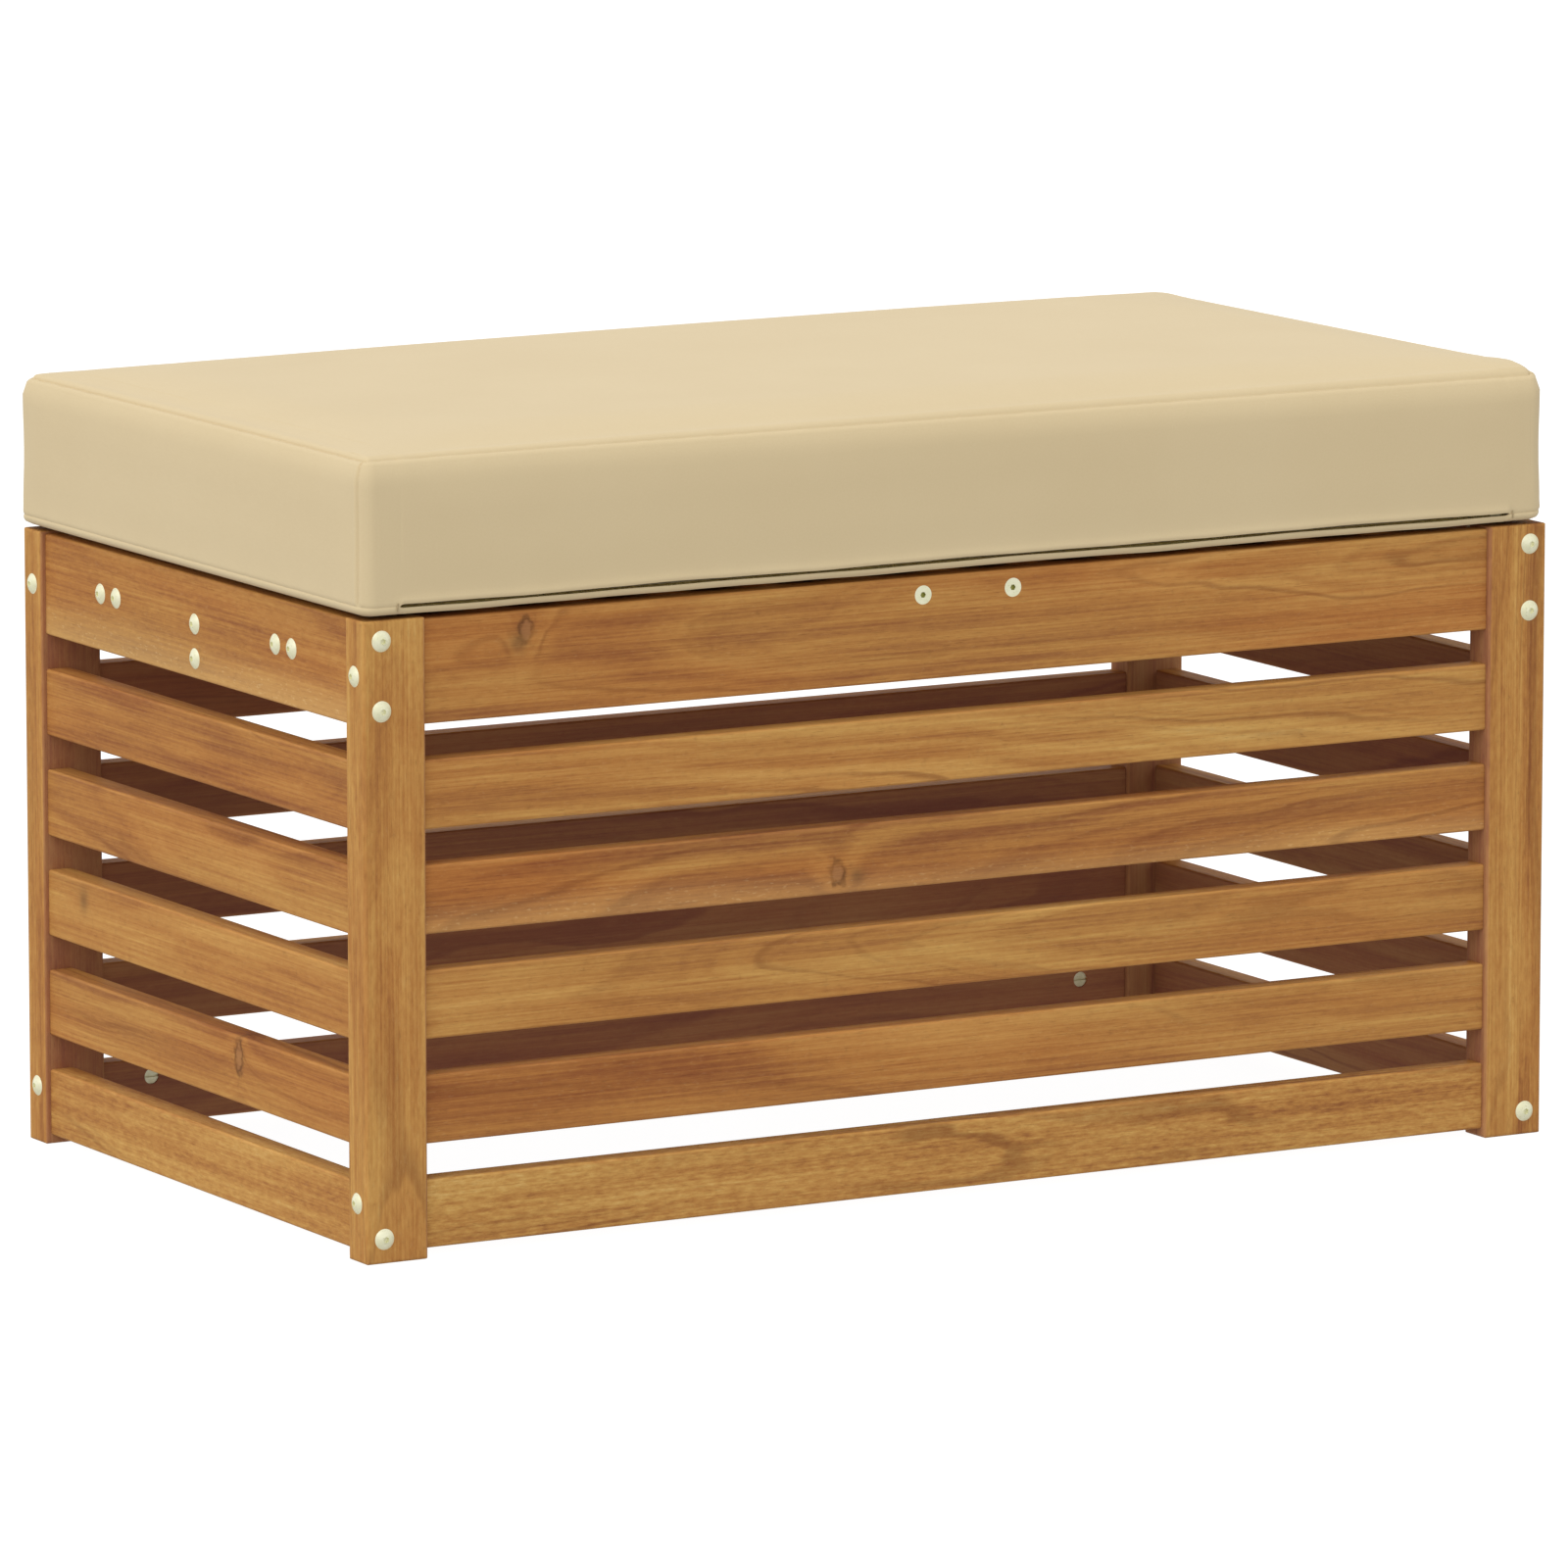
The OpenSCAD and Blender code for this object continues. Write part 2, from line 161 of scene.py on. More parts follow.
def wood_group():
    """Oiled hardwood in a board's own axes. Growth rings are cylinders round a pith that
    lies outside the board and leans along it, so faces, edges and ends agree."""
    tree = bpy.data.node_groups.new("hardwood", "ShaderNodeTree")
    for name in WOOD_INPUTS:
        tree.interface.new_socket(name, in_out="INPUT", socket_type="NodeSocketFloat")
    for name, kind in (("Color", "Color"), ("Roughness", "Float"), ("Height", "Float")):
        tree.interface.new_socket(name, in_out="OUTPUT", socket_type="NodeSocket" + kind)
    net = Net(tree)
    given = tree.nodes.new("NodeGroupInput").outputs
    along, across, depth, seed = (given[n] for n in ("Along", "Across", "Depth", "Seed"))
    knot = given["Knot"]
    place = net.vector(net.sum(along, net.scaled(seed, 3.17)),
                       net.sum(across, net.scaled(seed, 1.31)),
                       net.sum(depth, net.scaled(seed, 0.73)))

    # Distance from the pith, bent by slow waves and pushed aside round a knot
    wave = net.scaled(net.noise(net.stretch(place, 1.9, 9, 9)), 0.05, 0.5)
    ripple = net.scaled(net.noise(net.stretch(place, 8, 34, 34)), 0.012, 0.5)
    off_x = net.math("SUBTRACT", net.math("SUBTRACT", across, given["Pith Across"]),
                     net.math("MULTIPLY", along, net.scaled(given["Lean"], 0.4)))
    off_y = net.math("SUBTRACT", net.math("SUBTRACT", depth, given["Pith Depth"]),
                     net.math("MULTIPLY", along, given["Lean"]))
    radius = net.math("SQRT", net.sum(net.math("MULTIPLY", off_x, off_x),
                                      net.math("MULTIPLY", off_y, off_y)))
    around = net.math("POWER", knot, 0.15)
    radius = net.sum(radius, wave, ripple, net.scaled(around, 0.011))
    rings = net.noise(net.vector(net.scaled(radius, 95), net.scaled(seed, 9.7), 0.0),
                      detail=3.0, roughness=0.55)
    lines = net.noise(net.vector(net.scaled(radius, 260), net.scaled(seed, 4.9), 3.0),
                      detail=1.0)
    lined = net.smooth(net.noise(net.stretch(place, 2.6, 20, 20)), 0.38, 0.60)
    lines = net.math("MULTIPLY", net.smooth(lines, 0.51, 0.71), lined)

    fibre = net.noise(net.stretch(place, 7, 520, 520), detail=3.0, roughness=0.6)
    streak = net.noise(net.stretch(place, 2.2, 85, 85), detail=3.0)
    mottle = net.noise(net.stretch(place, 5, 15, 15))
    curl = net.noise(net.stretch(place, 90, 300, 300), detail=4.0, roughness=0.66)
    dashes = net.smooth(net.noise(net.stretch(place, 75, 1500, 1500), detail=1.0), 0.64, 0.74)
    flecks = net.smooth(net.noise(net.stretch(place, 190, 520, 520), detail=1.0), 0.60, 0.76)

    tone = net.sum(0.51, net.scaled(rings, 0.54, 0.5), net.scaled(streak, 0.42, 0.5),
                   net.scaled(fibre, 0.42, 0.5), net.scaled(mottle, 0.26, 0.5),
                   net.math("MULTIPLY", net.scaled(curl, 0.70, 0.5), given["Curl"]),
                   net.scaled(given["Tone"], 0.25),
                   net.math("MULTIPLY", along, given["Drift"]))
    colour = net.ramp(tone, [(0.08, srgb(98, 57, 37)), (0.32, srgb(151, 98, 59)),
                             (0.52, srgb(185, 132, 72)), (0.70, srgb(205, 158, 89)),
                             (0.95, srgb(226, 190, 120))])
    colour = net.mix(net.math("MULTIPLY", lines, 0.50), colour, srgb(124, 74, 44))
    red = net.math("MULTIPLY", given["Red"],
                   net.smooth(net.noise(net.stretch(place, 2.4, 13, 13)), 0.30, 0.66))
    colour = net.mix(red, colour, net.mix(1.0, colour, srgb(246, 215, 210), "MULTIPLY"))

    # Paler sapwood with small flecks towards the board's lower edge
    sap_edge = net.sum(net.math("DIVIDE", across, given["Half Across"]),
                       net.scaled(wave, 26))
    sap = net.math("MULTIPLY", given["Pale"], net.smooth(net.scaled(sap_edge, -1), 0.1, 1.0))
    colour = net.mix(net.math("MULTIPLY", sap, 0.6), colour, srgb(222, 182, 118))
    colour = net.mix(net.math("MULTIPLY", net.math("MULTIPLY", flecks, 0.35),
                              net.sum(sap, 0.15)), colour, srgb(238, 206, 148))

    # Pores, and a knot: a soft halo, a broken dark ring and a paler heart
    colour = net.mix(net.math("MULTIPLY", dashes, 0.20), colour, srgb(104, 62, 36))
    uneven = net.sum(knot, net.scaled(net.noise(net.stretch(place, 180, 180, 180)), 0.9, 0.5))
    halo = net.math("MULTIPLY", net.smooth(uneven, 0.02, 0.45), 0.28)
    colour = net.mix(halo, colour, srgb(126, 84, 50))
    heart = net.smooth(uneven, 0.48, 0.86)
    broken = net.smooth(net.noise(net.stretch(place, 70, 70, 70)), 0.36, 0.58)
    ring = net.math("MULTIPLY", net.smooth(uneven, 0.18, 0.50),
                    net.math("SUBTRACT", 1.0, heart))
    ring = net.math("MULTIPLY", ring, net.sum(0.25, net.scaled(broken, 0.75)))
    colour = net.mix(net.math("MULTIPLY", ring, 0.62), colour, srgb(92, 60, 40))
    colour = net.mix(net.math("MULTIPLY", heart, 0.45), colour, srgb(172, 124, 84))
    colour = net.mix(net.math("MULTIPLY", given["Smudge"], 0.50), colour, srgb(98, 76, 54))

    # Painted shade: inner faces are darkened and greyed, as though less light reached them
    colour = net.mix(net.math("MULTIPLY", given["Inside"], 0.45), colour, srgb(143, 92, 90))

    # Painted highlight on the long edges, broken up by noise like rubbed wear, and end grain
    # that drinks more oil
    def beyond(value, half, margin):
        return net.smooth(net.math("SUBTRACT", net.math("ABSOLUTE", value), given[half]),
                          -margin, -margin * 0.2)
    edge = net.math("MINIMUM", beyond(across, "Half Across", EDGE_HIGHLIGHT_BAND),
                    beyond(depth, "Half Depth", EDGE_HIGHLIGHT_BAND))
    edge_highlight = net.math("MULTIPLY", edge, net.smooth(net.noise(net.stretch(place, 30, 90, 90)),
                                                0.30, 0.60))
    colour = net.mix(net.math("MULTIPLY", edge_highlight, 0.20), colour, srgb(214, 158, 94))
    end = beyond(along, "Half Along", 0.6 * MM)
    colour = net.mix(net.math("MULTIPLY", end, 0.55), colour, srgb(96, 58, 34))

    roughness = net.sum(0.50, net.scaled(fibre, 0.20, 0.5), net.scaled(dashes, 0.15),
                        net.scaled(edge_highlight, -0.06), net.scaled(end, 0.16))
    height = net.sum(net.scaled(fibre, 0.55), net.scaled(rings, 0.35),
                     net.scaled(dashes, -0.75), net.scaled(ring, -0.4))
    given_out = tree.nodes.new("NodeGroupOutput").inputs
    for name, value in (("Color", colour), ("Roughness", roughness), ("Height", height)):
        tree.links.new(value, given_out[name])
    return tree


# What each board that shows shows: its tone, its drift in tone along the board, how red, how
# pale and how curly it is, and its knots and smudges as (share along, share across, half
# sizes in mm)
BOARD_LOOKS = {
    "front_top_rail": dict(tone=0.05, drift=0.03, red=0.62,
                           knots=[(-0.815, 0.62, 6, 10)], smudges=[(-0.829, 0.40, 7, 8)]),
    "front_slat_1": dict(tone=0.25, drift=0.0, red=0.35),
    "front_slat_2": dict(tone=-0.25, drift=0.05, red=0.75, pale=0.5,
                         knots=[(-0.243, -0.40, 7, 9)], smudges=[(-0.208, -0.5, 6, 6)]),
    "front_slat_3": dict(tone=0.16, drift=-0.05, red=0.45),
    "front_slat_4": dict(tone=-0.02, drift=0.02, red=0.50),
    "front_bottom_rail": dict(tone=0.30, drift=0.0, red=0.15, curl=1.0),
    "left_top_rail": dict(tone=-0.10, drift=0.1, red=0.60, pale=0.75, curl=0.4),
    "left_slat_1": dict(tone=0.05, red=0.50),
    "left_slat_2": dict(tone=-0.10, red=0.60),
    "left_slat_3": dict(tone=0.20, red=0.30, smudges=[(0.76, 0.42, 7, 9)]),
    "left_slat_4": dict(tone=0.04, red=0.50, knots=[(-0.27, 0.40, 6.5, 13)]),
    "left_bottom_rail": dict(tone=0.25, red=0.25, curl=0.8),
    "post_front_left": dict(tone=0.34, red=0.32, curl=0.5),
    "post_front_right": dict(tone=0.20, red=0.25, curl=0.5),
    "post_back_left": dict(tone=0.15, red=0.35, curl=0.5),
}
WOOD_KINDS = ("post_", "_rail", "_slat_", "seat_batten", "seat_beam")
FASTENERS = ("bolts", "nuts", "screws", "dowels")
WALLS_AND_POSTS = ("front", "back", "left", "right", "post")
USUAL_CURL = 0.28
wood_tree = wood_group()


def is_board(name):
    return any(kind in name for kind in WOOD_KINDS) and not name.endswith(FASTENERS)


def give(ob, *made):
    """Makes these the object's only materials."""
    ob.data.materials.clear()
    for each in made:
        ob.data.materials.append(each)


def dress_board(name, seed):
    """Gives a board its own cut of the hardwood, with the grain along its length."""
    chance = random.Random(seed)
    low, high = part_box(name)
    centre, half = (low + high) / 2, (high - low) / 2
    axes = sorted(range(3), key=lambda axis: -half[axis])
    looks = {"tone": chance.uniform(-0.3, 0.3), "red": chance.uniform(0.2, 0.7)}
    looks.update(BOARD_LOOKS.get(name, {}))
    made, net, shader = material("wood_" + name)
    place = net.add("TexCoord").outputs["Object"]
    local = net.add("VectorMath", {0: place, 1: tuple(centre)}, operation="SUBTRACT")
    xyz = net.add("SeparateXYZ", {0: local.outputs[0]}).outputs
    along, across, depth = (xyz[axis] for axis in axes)
    spots = {"knots": 0.0, "smudges": 0.0}
    for kind in spots:
        for share_along, share_across, wide, tall in looks.get(kind, ()):
            from_along = net.scaled(along, 1 / (wide * MM), share_along * half[axes[0]])
            from_across = net.scaled(across, 1 / (tall * MM), share_across * half[axes[1]])
            square = net.sum(net.math("MULTIPLY", from_along, from_along),
                             net.math("MULTIPLY", from_across, from_across))
            hill = net.math("POWER", math.e, net.scaled(square, -1.0))
            spots[kind] = net.math("MAXIMUM", spots[kind], hill)
    # Painted shade mask: 1 on faces that look at the middle of the box, which the wood darkens
    # and greys
    inner = 0.0                       # 1 on faces that look at the middle of the box
    if name.startswith(WALLS_AND_POSTS):
        for value, axis in ((depth, axes[2]), (across, axes[1])):
            inwards = -math.copysign(1 / half[axis], centre[axis])
            if axis < 2:
                face = net.smooth(net.scaled(value, inwards), 0.90, 0.98)
                inner = net.math("MAXIMUM", inner, face)
    group = net.add("Group", node_tree=wood_tree)
    values = {"Along": along, "Across": across, "Depth": depth, "Half Along": half[axes[0]],
              "Half Across": half[axes[1]], "Half Depth": half[axes[2]], "Seed": float(seed),
              "Tone": looks["tone"], "Drift": looks.get("drift", 0.0), "Red": looks["red"],
              "Pith Across": chance.uniform(-0.05, 0.05),
              "Pith Depth": chance.choice((-1, 1)) * chance.uniform(0.035, 0.11),
              "Lean": chance.choice((-1, 1)) * chance.uniform(0.015, 0.07),
              "Knot": spots["knots"], "Smudge": spots["smudges"],
              "Pale": looks.get("pale", 0.0), "Curl": looks.get("curl", USUAL_CURL),
              "Inside": inner}
    for key, value in values.items():
        net.feed(group.inputs[key], value)
    finish_surface(net, shader, group.outputs["Color"], group.outputs["Roughness"],
                   group.outputs["Height"], 0.35 * MM, 0.6, Specular_IOR_Level=0.04)
    give(NODES[name], made)


for index, board_name in enumerate(sorted(n for n in NODES if is_board(n))):
    dress_board(board_name, index + 1)


# ---- Fasteners, dowels and foam ----

def zinc(name, pale, dark, roughness, metallic=0.55, face=None):
    """Yellow-passivated zinc: cloudy colour, fine brushing and darker spots. What lies deeper
    than the face, given as a distance from the frame's middle along Y, gets painted shade."""
    made, net, shader = material(name)
    place = net.add("TexCoord").outputs["Object"]
    cloud = net.noise(place, detail=3.0, scale=160)
    fine = net.noise(place, detail=2.0, scale=2400)
    spots = net.smooth(net.noise(place, scale=620), 0.60, 0.72)
    colour = net.mix(net.smooth(cloud, 0.35, 0.65), pale, dark)
    colour = net.mix(net.math("MULTIPLY", spots, 0.25), colour, srgb(150, 146, 104))
    if face:
        from_middle = net.math("ABSOLUTE", net.add("SeparateXYZ", {0: place}).outputs[1])
        # Painted shade: what lies deeper than the face is darkened towards olive
        painted_recess_shade = net.smooth(net.math("SUBTRACT", face, from_middle), 0.1 * MM, 0.7 * MM)
        colour = net.mix(net.math("MULTIPLY", painted_recess_shade, 0.9), colour, srgb(150, 148, 34))
    rough = net.sum(roughness, net.scaled(cloud, 0.20, 0.5), net.scaled(fine, 0.10, 0.5))
    finish_surface(net, shader, colour, rough, net.sum(fine, net.scaled(spots, -0.4)),
                   0.02 * MM, 0.5, Metallic=metallic)
    return made


def dowel_wood():
    """Straight-grained pale wood."""
    made, net, shader = material("beech_dowels")
    place = net.add("TexCoord").outputs["Object"]
    grain = net.noise(net.stretch(place, 180, 180, 900), detail=2.0)
    colour = net.ramp(grain, [(0.3, srgb(206, 172, 126)), (0.7, srgb(232, 206, 164))])
    finish_surface(net, shader, colour, net.sum(0.55, net.scaled(grain, 0.2, 0.5)), grain,
                   0.1 * MM, 0.6)
    return made


def open_foam():
    """Cream foam with open cells and softly uneven yellowing."""
    made, net, shader = material("open_cell_foam")
    place = net.add("TexCoord").outputs["Object"]
    cells = net.add("TexVoronoi", {"Vector": place, "Scale": 700.0}).outputs["Distance"]
    tint = net.noise(place, scale=14)
    colour = net.mix(net.smooth(cells, 0.1, 0.6), srgb(206, 192, 140), srgb(240, 230, 190))
    colour = net.mix(net.scaled(tint, 0.3), colour, srgb(232, 210, 150))
    finish_surface(net, shader, colour, net.sum(0.85, net.scaled(cells, 0.1)), cells,
                   0.5 * MM, 0.8)
    return made


bolt_zinc = zinc("zinc_bolts", srgb(246, 244, 211), srgb(238, 236, 198), 0.38, metallic=0.3)
nut_zinc = zinc("zinc_nuts", srgb(244, 243, 210), srgb(230, 229, 190), 0.44)
screw_looks = (srgb(252, 250, 218), srgb(244, 243, 206), 0.42, 0.3)
screw_zinc = zinc("zinc_screws", *screw_looks)
socket_zinc = zinc("zinc_socket_screws", *screw_looks, face=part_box("seat_tie_screws")[1].y)
for node_name, ob in NODES.items():
    if node_name.endswith("bolts"):
        give(ob, bolt_zinc)
    elif node_name.endswith("screws"):
        give(ob, socket_zinc if "tie" in node_name else screw_zinc)
    elif node_name.endswith("nuts"):
        give(ob, nut_zinc)
    elif node_name.endswith("dowels"):
        give(ob, dowel_wood())


# ---- Cloth ----

def cloth(name, pale, dark, thread, depth):
    """A plain weave: two sets of threads on each face, with slubs and soft clouds."""
    made, net, shader = material(name)
    coords = net.add("TexCoord").outputs
    place, facing = coords["Object"], net.add("SeparateXYZ", {0: coords["Normal"]}).outputs
    wobble = net.noise(place, scale=420)
    xyz = net.add("SeparateXYZ", {0: place}).outputs
    threads = []
    for axis in range(3):
        turn = net.sum(net.scaled(xyz[axis], 2 * math.pi / thread), net.scaled(wobble, 2.2))
        flat = net.math("SUBTRACT", 1.0, net.math("POWER", facing[axis], 4.0))
        threads.append(net.math("MULTIPLY", net.math("SINE", turn), flat))
    weave = net.scaled(net.sum(*threads), 0.25, -2.0)
    slub = net.noise(net.stretch(place, 700, 160, 700), detail=2.0)
    fuzz = net.noise(place, detail=3.0, scale=1300)
    cloud = net.noise(place, detail=3.0, scale=9)
    shade = net.sum(net.scaled(weave, 0.16), net.scaled(slub, 0.24), net.scaled(fuzz, 0.26),
                    net.scaled(cloud, 0.34))
    colour = net.ramp(shade, [(0.34, dark), (0.66, pale)])
    rough = net.sum(0.80, net.scaled(fuzz, 0.18, 0.5))
    height = net.sum(net.scaled(weave, 0.7), net.scaled(slub, 0.5), net.scaled(fuzz, 0.35))
    finish_surface(net, shader, colour, rough, height, depth, 0.45, Specular_IOR_Level=0.25,
                   Sheen_Weight=0.12, Sheen_Roughness=0.5)
    return made


cover_cloth = cloth("cover_cloth", srgb(217, 197, 157), srgb(212, 191, 150), 0.9 * MM,
                    0.05 * MM)
# The zip's tapes wear this cloth, and so does the strip under the opening, where its darker,
# greener colour is partly painted shade under the upper lip
tape_and_lip_shade_cloth = cloth("zip_tape_cloth", srgb(196, 183, 126), srgb(184, 171, 112), 0.8 * MM,
                   0.10 * MM)


# ---- The cushion's form ----

cover_low, cover_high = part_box("cushion_cover")
cushion_at = Vector(((cover_low.x + cover_high.x) / 2, (cover_low.y + cover_high.y) / 2,
                     cover_low.z))
HALF_X = (cover_high.x - cover_low.x) / 2
HALF_Y = (cover_high.y - cover_low.y) / 2
CORNER = 12.8 * MM                    # radius of the upright corners, seen from above
CROWN = 4.5 * MM                      # how far the top rises in its middle
SHOULDER = 15 * MM                    # rounding from the top into the sides
SEAM_TURN = math.radians(57)          # the top seam lies this far up round the shoulder
TOP_IN = SHOULDER * (1 - math.cos(SEAM_TURN))
BOTTOM_IN = 9 * MM                    # where the roll under the edge ends
EDGE_LIFT = 2.6 * MM                  # the edge hangs this far clear of what it lies on
UPRIGHT_PAST = CORNER * math.radians(24)   # the upright seams' way round from the end faces
SEAM_LOW = 10 * MM                    # bottom seam above the underside
ZIP_DROP = 1 * MM                     # the seam comes down this much to meet the zip
ZIP_HALF = 468.5 * MM                 # half of the opening's length
ZIP_OPEN = 1.35 * MM                  # half of the opening's height
UPPER_LIP = 1.0 * MM                  # the fold over the zip stands proud by this
LOWER_LIP_BACK = 2.0 * MM             # and the fold under it lies back by this
TOP_VALLEY, LOW_VALLEY, JOIN_VALLEY = 1.15 * MM, 0.75 * MM, 2.2 * MM   # depth at the thread
END_MORE = 0.8                        # the ends' top seam is deeper by this share
ROLL, JOIN_ROLL = 0.15 * MM, 0.35 * MM    # soft rolls beside the seams
PUCKER = 0.5 * MM
PUCKER_WAVES = (11, 14, 19, 27, 41)   # mm, together they give uneven puckers
STEPS = np.array([0, 0.3, 0.65, 1.1, 1.7, 2.5, 3.6, 5.2]) * MM   # rows beside a seam
WALL_SHARES = (0.08, 0.2, 0.34, 0.5, 0.66, 0.8, 0.92, 1.0)       # rows down the wall
WALL_HOLLOW = 0.5 * MM                # how far the wall sags in at mid height


def grid_lines(half, spacing, shares, steps, extra=()):
    """One axis's grid lines as rows of (straight place, share of the corner radius)."""
    straight = half - CORNER
    inner = straight - steps[-1] if not extra else min(extra) - 4 * MM
    count = max(2, round(2 * inner / spacing))
    side = [(straight, f) for f in shares] + [(straight - t, 0.0) for t in steps]
    side += [(x, 0.0) for x in sorted(extra, reverse=True)]
    even = [(-inner + 2 * inner * k / count, 0.0) for k in range(count + 1)]
    if not extra:
        even = even[1:-1]
    return np.array([(-s, -f) for s, f in side] + even + side[::-1])


def plan(lines, radius):
    """Places in plan: (straight place, share of the radius) for x and y, squares turned
    into round corners of this radius."""
    size = np.abs(lines[..., 1])
    far, near = size.max(-1), size.min(-1)
    turn = near / np.where(far > 0, far, 1) * math.pi / 4
    x_leads = size[..., 0] >= size[..., 1]
    long, short = far * np.cos(turn), far * np.sin(turn)
    unit = np.stack([np.where(x_leads, long, short), np.where(x_leads, short, long)], -1)
    return lines[..., 0] + radius * np.sign(lines[..., 1]) * unit


def seam_height(x, y):
    """Height of the top seam above the underside: corners droop, and the right end stands
    proud of its corners, most of all beside the front one. Numbers in mm, and in shares of
    the half sizes."""
    a, b = x / HALF_X, y / HALF_Y
    corners = {(-1, -1): 112.4, (1, -1): 110.2, (-1, 1): 111.6, (1, 1): 112.4}
    height = sum(z * (1 + sx * a) * (1 + sy * b) / 4 for (sx, sy), z in corners.items())
    long_edges = (0.4 + 0.2 * b) * (1 - np.abs(a) ** 6)
    right_end = (1 + a) * (1.5 - 0.9 * b) * (1 - np.abs(b) ** 14)
    puff = 1.5 * np.exp(-((b + 0.87) / 0.09) ** 2 - ((1 - a) / 0.12) ** 2)
    return (height + 1.2 + long_edges + right_end + puff) * MM


def crown_height(x, y):
    """How far the top panel rises over its seam's level."""
    a = np.clip(1 - (x / (HALF_X - TOP_IN)) ** 2, 0, 1)
    b = np.clip(1 - (y / (HALF_Y - TOP_IN)) ** 2, 0, 1)
    return CROWN * (a * b) ** 0.7


def groove(distance, depth, roll):
    """A sewn seam's section: a narrow valley with a soft roll on each side of it."""
    return (roll * np.exp(-((distance - 2.8 * MM) / (1.9 * MM)) ** 2)
            - depth * np.exp(-distance / (1.1 * MM)))


def shell(lines_x, lines_y, inset=0.0, sewn=True):
    """The cushion's skin as patches of points: the top, the band, the underside's roll and
    the underside. Each patch is an array of rows, and neighbours share their edge rows.
    Also the columns where the zip's opening is, and the bottom seam's height."""
    grid = np.stack(np.broadcast_arrays(lines_x[:, None, :], lines_y[None, :, :]), 2)
    n, m = len(lines_x), len(lines_y)
    ring = ([(i, 0) for i in range(n)] + [(n - 1, j) for j in range(1, m)]
            + [(i, m - 1) for i in range(n - 2, -1, -1)]
            + [(0, j) for j in range(m - 2, 0, -1)])
    edge = np.array([grid[i, j] for i, j in ring])
    edge = np.concatenate([edge, edge[:1]])
    root = edge[..., 0]
    normal = plan(edge, 1.0) - root
    outline = plan(edge, CORNER)
    step = np.linalg.norm(np.diff(outline, axis=0), axis=1)
    travel = np.concatenate([[0], np.cumsum(step)])
    total = travel[-1]

    chance = np.random.RandomState(5)
    waves = [(round(total / (w * MM)), chance.uniform(0, 2 * math.pi))
             for w in PUCKER_WAVES]

    def pucker(shift):
        return sum(np.sin(2 * math.pi * k * travel / total + turn + shift * k)
                   for k, turn in waves) / len(waves) * (PUCKER if sewn else 0)

    # Upright seams where the front strip meets the end strips, just round the corners
    upright = np.full(len(travel), 1.0)
    for side in (-1, 1):
        at = np.argmin(np.abs(outline[:, 0] - side * HALF_X)
                       + np.abs(outline[:, 1] + HALF_Y - CORNER))
        away = np.abs(travel - travel[at] + side * UPRIGHT_PAST)
        upright = np.minimum(upright, np.minimum(away, total - away))

    seam_top = seam_height(outline[:, 0], outline[:, 1]) - inset
    front = np.clip(-normal[:, 1], 0, 1) ** 2
    seam_low = SEAM_LOW - ZIP_DROP * front
    taper = np.clip((ZIP_HALF - np.abs(outline[:, 0])) / (3 * MM), 0, 1) ** 0.5
    uneven = 1 + 0.14 * np.sin(travel * 31) + 0.10 * np.sin(travel * 77 + 1)
    gap = ZIP_OPEN * taper * uneven * (front > 0.999) if sewn else 0 * travel
    sway = 0.35 * MM * np.sin(travel * 23 + 2) * taper * (front > 0.999)
    seam_low = seam_low + sway

    def row(out, up, tilt, bump):
        """Points at a signed distance out from the wall and a height, moved by bump along
        a direction that is tilt above level."""
        out = out + bump * np.cos(tilt) - inset
        place = root + normal * (CORNER + out)[:, None]
        return np.column_stack([place, up + bump * np.sin(tilt)])

    zero = 0 * travel
    top_valley, low_valley, roll = TOP_VALLEY * sewn, LOW_VALLEY * sewn, ROLL * sewn
    end_valley = END_MORE * top_valley
    join = JOIN_ROLL * sewn * np.exp(-((upright - 2.6 * MM) / (1.6 * MM)) ** 2)
    join = join - JOIN_VALLEY * sewn * np.exp(-upright / (0.8 * MM))

    # Band, from the top seam down to the bottom seam
    band = []
    for s in (*STEPS, SHOULDER * SEAM_TURN):
        tilt = SEAM_TURN - s / SHOULDER
        bump = (groove(s, top_valley + end_valley * normal[:, 0] ** 2, roll)
                + pucker(0) * math.exp(-s / (9 * MM)) + join * min(1, s / (2 * MM)))
        band.append(row(zero - SHOULDER * (1 - math.cos(tilt)),
                        seam_top - SHOULDER * (math.sin(SEAM_TURN) - math.sin(tilt)),
                        tilt, bump))
    wall_top = seam_top - SHOULDER * math.sin(SEAM_TURN)
    wall_low = seam_low + gap + 8 * MM + inset
    for share in WALL_SHARES:
        hollow = -WALL_HOLLOW * math.sin(math.pi * share) ** 2
        band.append(row(zero + hollow, wall_top + (wall_low - wall_top) * share, 0.0, join
                        + pucker(0) * 0.25 * (1 - share)))
    zipped = taper * (front > 0.999) if sewn else zero
    for s in STEPS[::-1]:
        bump = (groove(s, low_valley, roll) * (1 - zipped)
                + pucker(0.3) * math.exp(-s / (9 * MM))
                + UPPER_LIP * zipped * math.exp(-((s - 2.2 * MM) / (2.4 * MM)) ** 2))
        band.append(row(zero, seam_low + gap + s + inset, 0.0,
                        bump + join * min(1, s / (2 * MM))))

